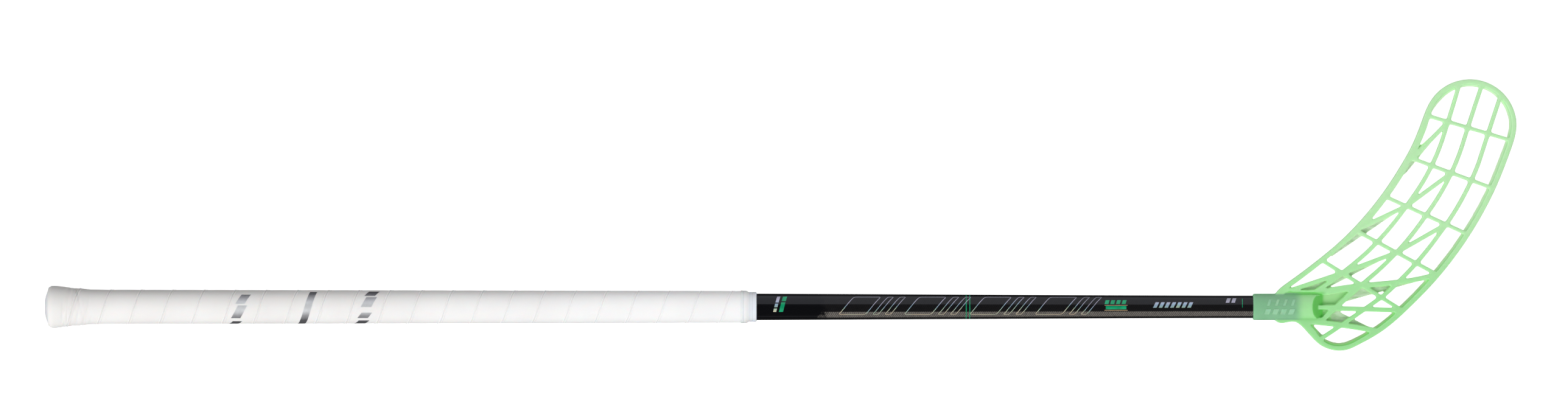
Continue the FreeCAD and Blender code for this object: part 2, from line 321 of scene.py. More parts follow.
# %% Lamps
def soft_box(name, place, size, power, target):
    """A rectangular lamp that points at a target."""
    data = bpy.data.lights.new(name, "AREA")
    data.shape = "RECTANGLE"
    data.size, data.size_y = size
    data.energy = power
    lamp = bpy.data.objects.new(name, data)
    lamp.location = place
    lamp.rotation_euler = (Vector(target) - Vector(place)).to_track_quat("-Z", "Y").to_euler()
    lamp.visible_glossy = False
    lamp.visible_camera = False
    scene.collection.objects.link(lamp)
    return lamp


middle = (0.6, 0.05, 0.0)
key = soft_box("main soft box", (0.6, -1.15, 2.3), (3.4, 1.2), 62.0, middle)
fill = soft_box("side soft box", (1.25, 1.1, 0.55), (0.9, 0.6), 2.6, (0.7, 0.0, 0.0))
ground = soft_box("ground light", (1.12, 0.08, -0.55), (0.5, 0.5), 1.2, (1.12, 0.08, 0.0))
end_fill = soft_box("end soft box", (-1.3, -0.1, 0.38), (0.5, 0.5), 7.5, (0.0, 0.0, 0.0))
far_fill = soft_box("far soft box", (0.64, 0.45, 0.13), (0.2, 0.12), 0.42, (0.60, 0.0, 0.0))
print("lamps:", ", ".join(lamp.name for lamp in (key, fill, ground, end_fill, far_fill)))


# %% [markdown]
# ## Turned pieces
#
# The cap and the collar are round about the shaft's axis. In the real ones the mould leaves soft bands and rounded
# edges, and the solids only have their main steps. A turned mesh follows a closed profile of (x, radius) points, and
# a profile with many gentle points gives the soft bands. A point on the axis stays one point instead of a ring. The
# short curve for corners is used later, for outlines on the shaft.

# %% Helper for turned pieces
def new_piece(name, points, faces):
    """A smooth-shaded mesh object from points in metres."""
    data = bpy.data.meshes.new(name)
    data.from_pydata(points, [], faces)
    data.validate()
    data.shade_smooth()
    piece = bpy.data.objects.new(name, data)
    scene.collection.objects.link(piece)
    return piece


def write_values(piece, name, values):
    """Stores one number for each point, for the material to read."""
    layer = piece.data.attributes.new(name, "FLOAT", "POINT")
    layer.data.foreach_set("value", np.asarray(values, np.float32))


def rounded_profile(corners, radius=0.35, steps=4):
    """Replaces each corner of a closed profile by a short curve, at most a third of its sides long."""
    smooth = []
    count = len(corners)
    for i, corner in enumerate(corners):
        here = Vector(corner)
        before, after = Vector(corners[i - 1]), Vector(corners[(i + 1) % count])
        if here.y == 0:
            smooth.append(here)
            continue
        start = here + (before - here).normalized() * min(radius, (before - here).length / 3)
        end = here + (after - here).normalized() * min(radius, (after - here).length / 3)
        for k in range(steps + 1):
            t = k / steps
            smooth.append(start * (1 - t) ** 2 + here * (2 * t * (1 - t)) + end * t**2)
    return [(p.x, p.y) for p in smooth]


def turned(name, profile, segments=128):
    """A closed solid of revolution about the shaft's axis from (x, radius) points in millimetres."""
    points, rings = [], []
    for x, r in profile:
        if r == 0:
            rings.append([len(points)] * segments)
            points.append((x * MM, 0, 0))
            continue
        rings.append(list(range(len(points), len(points) + segments)))
        turn = [2 * math.pi * k / segments for k in range(segments)]
        points += [(x * MM, r * math.cos(a) * MM, r * math.sin(a) * MM) for a in turn]
    faces = []
    for ring, following in zip(rings, rings[1:] + rings[:1]):
        for k in range(segments):
            n = (k + 1) % segments
            corners = [ring[k], ring[n], following[n], following[k]]
            face = list(dict.fromkeys(corners))
            if len(face) > 2:
                faces.append(face)
    piece = new_piece(name, points, faces)
    piece.data.set_sharp_from_angle(angle=math.radians(50))
    print(name, len(points), "points")
    return piece


# %% [markdown]
# ## The shaft's finish
#
# The shaft is a wound composite tube under a thick clear lacquer. The upper part is plain black. From about two
# fingers below the collar the weave shows as diagonal streaks, bright only in a painted highlight band along the near
# side. A mirror-smooth tube shows every fault of its normals, so it is turned again on the solid's own cones, with a
# ring every few millimetres. The lacquer is the shader's coat. The weave under it is a twill, worked out from the
# distance along the shaft and round it: a thread lies on top where the two counts add up to the right half of four.

# %% Shaft piece
shaft_stations = [(0, 12.15), (45, 12.15), (588, 10.95), (880, 9.55), (972, 9.25), (1041, 9.25)]
shaft_from, shaft_to, shaft_wall = 4.0, 1040.2, 1.3


def table(stations, x):
    """The value at x on straight lines between stations."""
    return np.interp(x, [s[0] for s in stations], [s[1] for s in stations])


ring_places = np.linspace(shaft_from, shaft_to, 130)
outside = [(float(x), float(table(shaft_stations, x))) for x in ring_places]
bore = [(x, r - shaft_wall) for x, r in outside[::16] + outside[-1:]]
shaft = turned("lacquered_shaft", outside + bore[::-1], 192)
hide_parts("shaft_tube")

# %% Shaft material
shaft_paint = Recipe(
    "lacquered composite",
    Roughness=0.42,
    Specular_IOR_Level=0.15,
    Coat_Weight=1.0,
    Coat_Roughness=0.02,
    Coat_IOR=1.5,
)
thread, thread_stretch = 0.00042, 1.8
weave_radius = 0.0100
weave_from = 0.642
where, (x, y, z) = shaft_paint.place()
round_angle = shaft_paint.math("ARCTAN2", y, z)
along_count = shaft_paint.math("DIVIDE", x, thread)
round_count = shaft_paint.math("MULTIPLY", round_angle, weave_radius / thread / thread_stretch)
whole_along = shaft_paint.math("FLOOR", along_count)
whole_round = shaft_paint.math("FLOOR", round_count)
counted = shaft_paint.math("SUBTRACT", whole_along, whole_round)
on_top = shaft_paint.math("LESS_THAN", shaft_paint.math("FLOORED_MODULO", counted, 4.0), 1.5)
streak = shaft_paint.noise(where, 900.0, 2.0, (1.0, 0.35, 0.35))
# Painted highlight: the weave is bright only in a band from 20 to 60 degrees off the top towards the near side, and
# faint elsewhere.
painted_highlight_band = shaft_paint.math(
    "MULTIPLY",
    shaft_paint.smooth(round_angle, math.radians(-60), math.radians(-50)),
    shaft_paint.smooth(round_angle, math.radians(-26), math.radians(-20), 1.0, 0.0),
)
edge_wobble = shaft_paint.math("MULTIPLY", shaft_paint.noise(where, 160.0), 0.02)
begins = shaft_paint.math("SUBTRACT", x, edge_wobble)
shown = shaft_paint.smooth(begins, weave_from - 0.012, weave_from - 0.006)
strength = shaft_paint.math("MULTIPLY", shown, shaft_paint.smooth(painted_highlight_band, 0, 1, 0.035, 1.0))
weave_and_painted_highlight = shaft_paint.math("MULTIPLY", strength, shaft_paint.smooth(on_top, 0, 1, 0.35, 1.0))
weave_and_painted_highlight = shaft_paint.math("MULTIPLY", weave_and_painted_highlight, shaft_paint.smooth(streak, 0.3, 0.7, 0.75, 1.1))
colour = shaft_paint.mix(weave_and_painted_highlight, (0.0025, 0.0025, 0.0035), (0.17, 0.155, 0.140))
shaft_paint.to("Base Color", colour)
shaft_paint.bump(weave_and_painted_highlight, 0.00002, 0.3)
finish_with(shaft, shaft_paint)
print("weave shows from", weave_from, "m, threads", thread / MM, "mm wide")


# %% [markdown]
# ## The butt cap
#
# Only the domed end of the cap shows, in the mouth of the grip. The solid has a flat cone there, so the piece is
# turned again with a rounded dome and a shallow moulded ring, inside the same outline. It is a pale, slightly bluish
# plastic.

# %% Butt cap piece
cap_head_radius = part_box("butt_cap")[1].z / MM
dome = [(0.0, 0.0), (0.0, 5.2), (0.3, 5.6), (0.3, 6.4), (0.05, 6.8), (0.3, 8.0), (0.75, 9.6), (1.3, 11.4)]
dome += [(1.9, 13.0), (2.45, 14.4), (2.75, 15.1)]
hidden = [(2.9, cap_head_radius), (9.5, cap_head_radius), (36.0, 12.55), (36.0, 12.15)]
plug = [(4.0, 12.15), (4.0, 10.85), (36.8, 10.85), (38.0, 10.25), (38.0, 8.45), (4.0, 8.45), (4.0, 0.0)]
cap = turned("domed_cap", dome + hidden + plug)
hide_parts("butt_cap")
cap_paint = Recipe("pale moulded plastic", Roughness=0.42, Subsurface_Weight=0.15, Subsurface_Scale=0.002)
where, (x, y, z) = cap_paint.place()
tone = cap_paint.ramp(cap_paint.noise(where, 60.0), (0.3, (0.80, 0.82, 0.87)), (0.7, (0.84, 0.86, 0.90)))
cap_paint.to("Base Color", tone)
cap_paint.bump(cap_paint.noise(where, 2500.0, 4.0), 0.00003, 0.4)
finish_with(cap, cap_paint)


# %% [markdown]
# ## The grip
#
# The grip is one long cushioned band, wound round the shaft with each turn lapping over the one before. What the eye
# reads is the seam: a fine raised edge that climbs like a screw thread, a shallow groove behind it and a faint second
# line where the edge below shows through. A plain sleeve with a bump texture would miss the little steps in the
# outline. So the mesh itself follows the winding: its columns run along the band, each row is a step round the shaft,
# and the last column of one turn is sewn to the first of the next. The band's own height is then a simple function of
# how far across it a column lies.

# %% Grip measures
grip_start, grip_end = 2.6, 577.0
pitch = 25.65
first_seam = 42.0
band_columns = 56
rows_per_turn = 96
grip_stations = [(2.6, 15.45), (3.1, 15.85), (3.7, 16.3), (4.6, 16.95), (5.8, 17.3), (7.5, 17.4), (9.5, 17.25)]
grip_stations += [(13.0, 16.85), (18.0, 16.25), (22.5, 15.6), (26.0, 15.3), (30.5, 15.2), (34.0, 14.75)]
grip_stations += [(37.5, 14.25), (42.0, 14.2), (50.0, 14.04), (577.0, 13.02)]
print("grip", grip_start, "to", grip_end, "mm, one turn each", pitch, "mm")

# %% Relief of the wound band
rng = np.random.default_rng(7)
sway = [(rng.uniform(0.05, 0.45), rng.uniform(0, 6.28), rng.uniform(0.08, 0.18)) for _ in range(5)]
creases = []
for _ in range(34):
    creases.append({
        "x": rng.uniform(11, 37),
        "slant": rng.uniform(-4.0, 6.5),
        "angle": rng.uniform(0, 2 * math.pi),
        "spread": rng.uniform(0.35, 1.1),
        "width": rng.uniform(0.35, 0.75),
        "depth": rng.uniform(0.18, 0.50),
    })
for crease_x, depth in ((19.2, 0.30), (20.6, -0.16), (22.4, 0.30), (24.0, -0.14)):
    creases.append({"x": crease_x, "slant": 1.1, "angle": math.pi / 2, "spread": 3.2, "width": 0.38, "depth": depth})
# Raised hairlines along the band: turn of the winding, first and last angle in degrees, places across the band
line_gap = pitch / 48
line_groups = [
    (4, 200, 330, (18, 22, 26)),
    (6, 20, 140, (14, 17, 20, 23, 26)),
    (8, 10, 125, (17, 20, 23, 26, 30)),
    (10, 190, 340, (15, 18, 21, 24)),
    (13, 85, 172, (12, 16, 20, 24)),
    (14, 15, 168, (15, 18, 20, 23, 26, 30)),
    (15, 70, 165, (14, 26)),
    (16, 0, 150, (24, 27, 30, 34)),
    (18, 210, 350, (20, 24, 28)),
]


def band_relief(x, angle, across, turn):
    """Height of the band's surface over its plain taper, in millimetres, for whole arrays of points."""
    from_edge = across * pitch
    to_next = pitch - from_edge
    edge = 0.32 * np.exp(-(((to_next - 0.15) / 0.5) ** 2)) + 0.20 * np.exp(-(((from_edge - 1.6) / 0.4) ** 2))
    groove = -0.16 * np.exp(-(((from_edge - 0.6) / 0.4) ** 2)) - 0.08 * np.exp(-(((from_edge - 2.4) / 0.35) ** 2))
    crown = 0.12 * np.sin(math.pi * across) ** 0.8
    height = edge + groove + crown + 0 * angle
    for crease in creases:
        lag = (angle - crease["angle"] + math.pi) % (2 * math.pi) - math.pi
        line = crease["x"] + crease["slant"] * lag
        fade = np.exp(-((lag / crease["spread"]) ** 2))
        height = height - crease["depth"] * fade * np.exp(-(((x - line) / crease["width"]) ** 2))
    for group_turn, start, end, columns in line_groups:
        inside = (turn == group_turn) & (angle >= math.radians(start)) & (angle <= math.radians(end))
        for column in columns:
            height = height + 0.15 * inside * np.exp(-(((from_edge - column * line_gap) / 0.3) ** 2))
    return height


# %% Points of the wound surface
def band_x(turns, across):
    """Distance along the stick of a place on the band: turns along it and a share across it."""
    def shift(t):
        return sum(size * np.sin(rate * 2 * math.pi * t + phase) for rate, phase, size in sway)

    return first_seam + pitch * (turns - 1 + across) + shift(turns) * (1 - across) + shift(turns + 1) * across


def on_band(x, r, angle):
    """Angles start at the near side and turn over the top to the far side."""
    return np.stack([x * MM, -r * np.cos(angle) * MM, r * np.sin(angle) * MM], axis=-1)


first_turn = -2
last_turn = math.ceil((grip_end - first_seam) / pitch) + 3
steps = np.arange(first_turn * rows_per_turn, last_turn * rows_per_turn)
turns = steps[:, None] / rows_per_turn
even_share = np.arange(band_columns)[None, :] / band_columns
across = even_share - 0.11 * np.sin(2 * math.pi * even_share)
angle = 2 * math.pi * (turns - np.floor(turns)) + 0 * across
x = np.clip(band_x(turns, across), grip_start, grip_end)
plain = table(grip_stations, x)
between_ends = (x > grip_start + 0.4) & (x < grip_end - 0.4)
r = plain + np.where(between_ends, band_relief(x, angle, across, np.floor(turns)), 0)
surface = on_band(x, r, angle)
print("grip surface", surface.shape[0], "rows of", surface.shape[1], "points")

# %% Grip piece
merged, points = {}, []


def point_number(place):
    key = tuple(round(c, 7) for c in place)
    if key not in merged:
        merged[key] = len(points)
        points.append(tuple(place))
    return merged[key]


def add_face(faces, corners):
    """A face between numbered points, without repeated corners."""
    face = list(dict.fromkeys(corners))
    if len(face) > 2:
        faces.append(face)


row_count = len(steps)
number = np.array([[point_number(p) for p in row] for row in surface.tolist()])
number = np.hstack([number, np.roll(number[:, :1], -rows_per_turn, axis=0)])
clamped = np.hstack([x, np.roll(x[:, :1], -rows_per_turn, axis=0)])
faces = []
for row in range(row_count - 1):
    sewn_on = band_columns if row + 1 + rows_per_turn < row_count else band_columns - 1
    for column in range(sewn_on):
        cell_x = clamped[row:row + 2, column:column + 2]
        if cell_x.max() > grip_start and cell_x.min() < grip_end:
            a, b = number[row, column], number[row, column + 1]
            c, d = number[row + 1, column + 1], number[row + 1, column]
            add_face(faces, [int(n) for n in (a, d, c, b)])

inside = [(grip_end, 11.01), (36.0, 12.57), (9.5, 15.37), (grip_start, 15.37)]
outer_end = [(grip_end, float(table(grip_stations, grip_end)))]
outer_start = [(grip_start, float(table(grip_stations, grip_start)))]
rings = []
for ring_x, ring_r in outer_end + inside + outer_start:
    ring_angle = 2 * math.pi * np.arange(rows_per_turn) / rows_per_turn
    ring = on_band(np.full(rows_per_turn, ring_x), np.full(rows_per_turn, ring_r), ring_angle)
    rings.append([point_number(p) for p in ring.tolist()])
for ring, following in zip(rings, rings[1:]):
    for k in range(rows_per_turn):
        n = (k + 1) % rows_per_turn
        add_face(faces, [ring[k], ring[n], following[n], following[k]])
grip = new_piece("wound_grip", points, faces)
seam_distance = np.full(len(points), pitch)
seam_distance[number[:, :-1]] = across * pitch + 0 * x
write_values(grip, "from_seam", seam_distance)
print("grip", len(points), "points", len(faces), "faces")


# %% [markdown]
# ## The grip's finish
#
# The band is a soft polymer with a dry, matte skin. It is nearly white and a little warmer and greyer towards the
# butt. Painted shade darkens the groove beside each seam, where the distance from the seam is stored on the mesh.
# A very fine grain breaks up the light, and a trace of light scattering under the skin softens the shadows of the
# seams.

# %% Grip material
grip_paint = Recipe(
    "matte cushioned band",
    Roughness=0.62,
    Subsurface_Weight=0.12,
    Subsurface_Scale=0.0015,
    Sheen_Weight=0.15,
    Sheen_Roughness=0.5,
    Specular_IOR_Level=0.35,
)
where, (x, y, z) = grip_paint.place()
# Darker and a little warmer towards the butt; the colour follows only the distance along the stick.
away_from_butt = grip_paint.smooth(x, 0.10, 0.55)
cloudy = grip_paint.noise(where, 26.0, 4.0)
plain_tone = grip_paint.ramp(cloudy, (0.3, (0.79, 0.79, 0.795)), (0.7, (0.82, 0.82, 0.825)))
butt_tone = grip_paint.ramp(cloudy, (0.3, (0.745, 0.732, 0.722)), (0.7, (0.785, 0.777, 0.770)))
skin = grip_paint.mix(away_from_butt, butt_tone, plain_tone)
from_seam = grip_paint.stored("from_seam")
# Painted shade: the groove just behind each seam is darkened in the colour.
painted_groove_shade = grip_paint.smooth(from_seam, 0.3, 1.2, 0.16, 0.0)
grip_paint.to("Base Color", grip_paint.mix(painted_groove_shade, skin, (0.45, 0.45, 0.47)))
grain = grip_paint.noise(where, 1800.0, 4.0)
grip_paint.to("Roughness", grip_paint.smooth(grain, 0.2, 0.8, 0.56, 0.70))
grip_paint.bump(grain, 0.00004, 0.35)
finish_with(grip, grip_paint)
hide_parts("grip_band")


# %% [markdown]
# ## Thin printed and foil marks
#
# The shaft and the grip carry foil and print in plain bars, leaning boxes and lines. A print is a film on the
# surface, so each mark is a very thin closed plate that follows the curve, a few hundredths of a millimetre proud. A
# picture on the material would be quicker, but a plate keeps its sharp edge at any size and goes with the mesh when
# it is exported.

# %% Helper for thin plates on a curved surface
class Marks:
    """Thin closed plates on a curved surface, gathered into one piece."""

    def __init__(self, surface, lift, sink):
        self.surface, self.lift, self.sink = surface, lift, sink
        self.points, self.faces = [], []

    def ribbon(self, left, right, closed=False):
        """A plate between two lines of equally many surface places."""
        first = len(self.points)
        for height in (self.lift, -self.sink):
            for line in (left, right):
                self.points += [self.surface(u, v, height) for u, v in line]
        n = len(left)
        rows = [[first + k * n + i for i in range(n)] for k in (0, 1, 3, 2)]
        for a, b in zip(rows, rows[1:] + rows[:1]):
            for i in range(n if closed else n - 1):
                j = (i + 1) % n
                self.faces.append([a[i], a[j], b[j], b[i]])
        if not closed:
            self.faces.append([row[0] for row in rows])
            self.faces.append([row[-1] for row in rows[::-1]])

    def bar(self, u, v, width, length, slant=0.0, pieces=8):
        """A bar from the place (u, v): width along u, length along v, and its far end shifted by slant."""
        shares = [k / pieces for k in range(pieces + 1)]
        left = [(u + slant * s, v + length * s) for s in shares]
        self.ribbon(left, [(a + width, b) for a, b in left])

    def outline(self, corners, width, rounding, step=0.6):
        """A closed line of even width through rounded corners."""
        path = []
        bends = rounded_profile(corners, rounding, 5)
        for (ua, va), (ub, vb) in zip(bends, bends[1:] + bends[:1]):
            parts = max(1, math.ceil(abs(vb - va) / step))
            path += [(ua + (ub - ua) * k / parts, va + (vb - va) * k / parts) for k in range(parts)]
        left, right = [], []
        for i, (u, v) in enumerate(path):
            ua, va = path[i - 1]
            ub, vb = path[(i + 1) % len(path)]
            length = math.hypot(ub - ua, vb - va)
            across_u, across_v = -(vb - va) / length * width / 2, (ub - ua) / length * width / 2
            left.append((u + across_u, v + across_v))
            right.append((u - across_u, v - across_v))
        self.ribbon(left, right, closed=True)

    def piece(self, name):
        made = new_piece(name, self.points, self.faces)
        made.data.set_sharp_from_angle(angle=math.radians(40))
        print(name, len(self.points), "points")
        return made


def on_shaft(x, arc, height):
    """A place on the shaft: arc is the way round from the top towards the far side, in millimetres."""
    r = float(table(shaft_stations, x))
    turn = arc / r
    return (x * MM, (r + height) * math.sin(turn) * MM, (r + height) * math.cos(turn) * MM)


# %% Outlined leaning boxes and foil dashes
foil_lines = Marks(on_shaft, 0.03, 0.05)
motif_middle, motif_half, motif_lean = 1.4, 8.0, 13.0


def leaning_box(start, length, half_height, lean):
    """Corners of a parallelogram on the shaft that leans towards the blade."""
    low, high = motif_middle - half_height, motif_middle + half_height
    foot = -lean * half_height / motif_half / 2
    return [(start + foot, low), (start + length + foot, low), (start + length - foot, high), (start - foot, high)]


for i in range(4):
    start = 662.0 + i * 54.0
    foil_lines.outline(leaning_box(start, 22.0, motif_half, motif_lean), 0.5, 2.0)
    foil_lines.outline(leaning_box(start + 28.0, 4.5, motif_half, motif_lean), 0.45, 1.2)
    foil_lines.outline(leaning_box(start + 38.0, 4.5, motif_half, motif_lean), 0.45, 1.2)
for i in range(7):
    foil_lines.bar(915.0 + i * 4.7, -0.6, 2.9, 4.6, slant=2.2)
for arc_from, length in ((-4.2, 3.0), (-0.2, 3.0), (3.8, 6.0)):
    foil_lines.bar(602.4 + arc_from * 0.25, arc_from, 2.6, length, slant=length * 0.25)
for i in range(2):
    foil_lines.bar(975.0 + i * 4.6, 3.6, 3.0, 4.6, slant=1.4)
foil_piece = foil_lines.piece("foil_marks")

foil_paint = Recipe("shifting foil", Metallic=0.55, Roughness=0.3, Coat_Weight=0.6, Coat_Roughness=0.03)
where, (x, y, z) = foil_paint.place()
round_angle = foil_paint.math("ARCTAN2", y, z)
drift = foil_paint.math("MULTIPLY", foil_paint.noise(where, 55.0, 2.0, (1.0, 0.4, 0.4)), 0.9)
# Painted reflection: the foil runs from warm on the near side to green, blue and dark grey towards the far side, by
# the angle round the shaft, with a random drift.
painted_reflection_hue = foil_paint.math("ADD", foil_paint.smooth(round_angle, -0.9, 1.1, -0.25, 0.55), drift)
foil_colour = foil_paint.ramp(
    painted_reflection_hue,
    (0.0, (0.95, 0.62, 0.42)),
    (0.25, (0.92, 0.84, 0.62)),
    (0.42, (0.55, 0.80, 0.62)),
    (0.58, (0.45, 0.66, 0.85)),
    (0.78, (0.55, 0.52, 0.66)),
    (1.0, (0.42, 0.42, 0.50)),
)
foil_paint.to("Base Color", foil_colour)
foil_paint.bump(foil_paint.noise(where, 900.0), 0.00001, 0.3)
finish_with(foil_piece, foil_paint)

# %% Green print
green_print = Marks(on_shaft, 0.03, 0.05)
for i in range(4):
    green_print.bar(875.0 + i * 4.7, 2.4, 3.2, 3.6, slant=1.0)
green_print.bar(876.0, -1.9, 17.0, 2.7)
for arc_from, length in ((-4.2, 8.2), (5.0, 4.8)):
    green_print.bar(607.2 + arc_from * 0.25, arc_from, 3.4, length, slant=length * 0.25)
green_print.bar(988.6, -0.5, 0.5, 8.0)
for ring_x in (760.8, 763.8):
    turn_length = 2 * math.pi * float(table(shaft_stations, ring_x))
    line = [(ring_x, turn_length * k / 96) for k in range(96)]
    green_print.ribbon([(u - 0.3, v) for u, v in line], [(u + 0.3, v) for u, v in line], closed=True)
green_piece = green_print.piece("green_marks")
green_paint = Recipe("green print", Roughness=0.28, Metallic=0.2, Coat_Weight=0.8, Coat_Roughness=0.03)
where, (x, y, z) = green_paint.place()
tone = green_paint.ramp(
    green_paint.noise(where, 120.0), (0.35, (0.0, 0.25, 0.10)), (0.65, (0.005, 0.42, 0.19))
)
green_paint.to("Base Color", tone)
finish_with(green_piece, green_paint)

gold_lines = Marks(on_shaft, 0.03, 0.05)
gold_lines.bar(875.0, 1.1, 19.0, 0.5, pieces=1)
gold_lines.bar(875.0, -3.1, 19.0, 0.6, pieces=1)
gold_piece = gold_lines.piece("gold_lines")
gold_paint = Recipe("pale gold print", Roughness=0.3, Metallic=0.6, Coat_Weight=0.6)
where, (x, y, z) = gold_paint.place()
tone = gold_paint.ramp(gold_paint.noise(where, 200.0), (0.3, (0.62, 0.42, 0.24)), (0.7, (0.80, 0.62, 0.38)))
gold_paint.to("Base Color", tone)
finish_with(gold_piece, gold_paint)

# %% Silver bars on the grip
def on_grip(share, turns, height):
    """A place on the wound band: a share across it and turns along it, a height above its relief."""
    x = float(band_x(np.float64(turns), share))
    turn_angle = 2 * math.pi * (turns - math.floor(turns))
    relief = float(band_relief(x, turn_angle, np.float64(share), -9))
    r = float(table(grip_stations, x)) + relief + height
    return tuple(on_band(x, r, turn_angle).tolist())


silver = Marks(on_grip, 0.05, 0.25)
silver.bar(0.47, 6.985, 0.23, 0.44, pieces=40)
for i, length in enumerate((0.10, 0.13, 0.10)):
    silver.bar(0.22, 4.99 + i * 0.145, 0.30, length, slant=0.10, pieces=12)
for i, length in enumerate((0.08, 0.06, 0.10, 0.07)):
    silver.bar(0.30, 9.02 + i * 0.115, 0.34, length, slant=0.08, pieces=10)
silver_piece = silver.piece("silver_marks")
silver_paint = Recipe("silver foil", Metallic=0.35, Roughness=0.3)
where, (x, y, z) = silver_paint.place()
crinkle = silver_paint.noise(where, 350.0, 3.0)
round_angle = silver_paint.math("ABSOLUTE", silver_paint.math("ARCTAN2", y, z))
uneven = silver_paint.math("MULTIPLY", crinkle, 0.2)
# Painted highlight and shade: the foil is light on the top of the grip and dark towards its sides, with random
# unevenness.
painted_light_and_shade = silver_paint.math("ADD", silver_paint.smooth(round_angle, 0.1, 1.1), uneven)
tone = silver_paint.ramp(painted_light_and_shade, (0.1, (0.72, 0.74, 0.76)), (0.5, (0.42, 0.42, 0.44)), (1.0, (0.13, 0.13, 0.14)))
silver_paint.to("Base Color", tone)
silver_paint.bump(crinkle, 0.00008, 0.5)
finish_with(silver_piece, silver_paint)


# %% [markdown]
# ## The collar
#
# A short moulded rubber ring holds the end of the band. It is wide on the grip, steps down, and ends in a bright
# smooth cuff on the shaft. Shallow rounded bands run round it. A turned profile with many gentle points gives the
# bands as real shape, so they also show in the outline, and three of the grooves are tinted, as dust and shade make
# them look.

# %% Collar piece
collar_profile = [
    (574.7, 13.22), (574.75, 13.42), (575.1, 13.60), (575.9, 13.62), (576.5, 13.45), (577.3, 13.40),
    (578.2, 13.50), (579.0, 13.42), (579.8, 13.18), (580.5, 12.72), (581.0, 12.42), (581.6, 12.22),
    (582.2, 12.16), (582.7, 12.30), (583.3, 12.34), (583.8, 12.18), (584.3, 12.14), (584.9, 12.30),
    (585.8, 12.35), (586.7, 12.33), (587.3, 12.18), (587.65, 11.85), (587.8, 11.45), (587.75, 11.05),
    (587.3, 11.0), (577.1, 11.02), (577.05, 13.12), (575.0, 13.14),
]
collar = turned("banded_collar", collar_profile)
collar.data.set_sharp_from_angle(angle=math.radians(70))
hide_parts("finishing_collar")
collar_paint = Recipe(
    "pale satin rubber", Roughness=0.4, Subsurface_Weight=0.2, Subsurface_Scale=0.002, Coat_Weight=0.15
)
where, (x, y, z) = collar_paint.place()
cuff = collar_paint.smooth(x, 0.5805, 0.5830)
blush = collar_paint.noise(where, 90.0)
wide = collar_paint.ramp(blush, (0.3, (0.76, 0.76, 0.77)), (0.7, (0.80, 0.80, 0.81)))
narrow = collar_paint.ramp(blush, (0.3, (0.70, 0.735, 0.79)), (0.7, (0.745, 0.78, 0.83)))
bands = collar_paint.mix(cuff, wide, narrow)
for groove_x in (0.5769, 0.5822, 0.5843):
    from_groove = collar_paint.math("ABSOLUTE", collar_paint.math("SUBTRACT", x, groove_x))
    tint = collar_paint.smooth(from_groove, 0.0001, 0.0005, 0.24, 0.0)
    bands = collar_paint.mix(tint, bands, (0.40, 0.42, 0.45))
collar_paint.to("Base Color", bands)
collar_paint.bump(collar_paint.noise(where, 2200.0), 0.00002, 0.3)
finish_with(collar, collar_paint)


# %% [markdown]
# ## The blade
#
# The blade is one moulding, and every edge that a mould makes is rounded. The solid has the lattice exactly, but its
# edges are sharp. Rounding hundreds of crossing edges one by one would be slow and could fail where they meet. So a
# copy of the solid's mesh is turned into a fine even skin of small cells and smoothed a little: this rounds every
# edge by about half a millimetre, and the corners where bars meet run softly into each other, as moulded plastic
# does.

# %% Blade piece
def skin_of(node, name, cell, passes):
    """A smooth even skin over a copy of a node's mesh."""
    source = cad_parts[node].data.copy()
    rough = bpy.data.objects.new(name + "_rough", source)
    scene.collection.objects.link(rough)
    remesh = rough.modifiers.new("even skin", "REMESH")
    remesh.mode = "VOXEL"
    remesh.voxel_size = cell
    remesh.use_smooth_shade = True
    smooth = rough.modifiers.new("soft edges", "SMOOTH")
    smooth.factor = 0.5
    smooth.iterations = passes
    graph = bpy.context.evaluated_depsgraph_get()
    made = bpy.data.meshes.new_from_object(rough.evaluated_get(graph))
    bpy.data.objects.remove(rough)
    piece = bpy.data.objects.new(name, made)
    scene.collection.objects.link(piece)
    print(name, len(made.vertices), "points", len(made.polygons), "faces")
    return piece


skin_cell = 0.0006
blade = skin_of("blade", "moulded_blade", skin_cell, 8)
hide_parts("blade")

# %% [markdown]
# ## Places on the blade
#
# The finish has to know where a point lies, and coordinates alone don't say it on a hooked blade. So a few values are
# worked out once from the mesh and stored on its points: how deep a point is under the face, and whether it is on a
# thin web, on the end slope of the socket and the grooves beside the neck, on a steep wall or on the floor of a
# pocket. The end slope and the grooves get painted shade, a darker green. Slope, wall and pocket fade at their
# borders, so their colours don't end in a hard line. The socket's mouth is rounded more than the other edges, which
# is done by moving its points inwards.

# %% Depth below the blade's face
mouth_x = 997.7
hook_radius = 2600.0
hook_start = (60.0, 5.0)
hook_direction = math.radians(63.0)
face_level = 5.0
blade_depth = 10.0


def hook_drop(u, v):
    """How far the hooked blade has bent down at places measured from the socket's mouth, in millimetres."""
    along = (u - hook_start[0]) * math.cos(hook_direction) + (v - hook_start[1]) * math.sin(hook_direction)
    return hook_radius - np.sqrt(hook_radius**2 - np.maximum(along, 0) ** 2)


places = np.empty(len(blade.data.vertices) * 3)
blade.data.vertices.foreach_get("co", places)
places = places.reshape(-1, 3) / MM
normals = np.empty(len(blade.data.vertices) * 3)
blade.data.vertices.foreach_get("normal", normals)
normals = normals.reshape(-1, 3)
u, v, level = places[:, 0] - mouth_x, places[:, 1], places[:, 2]
depth = np.clip((face_level - hook_drop(u, v) - level) / blade_depth, 0, 1)
write_values(blade, "depth", depth)
print("deepest point under the face:", round(float(depth.max()) * blade_depth, 1), "mm")

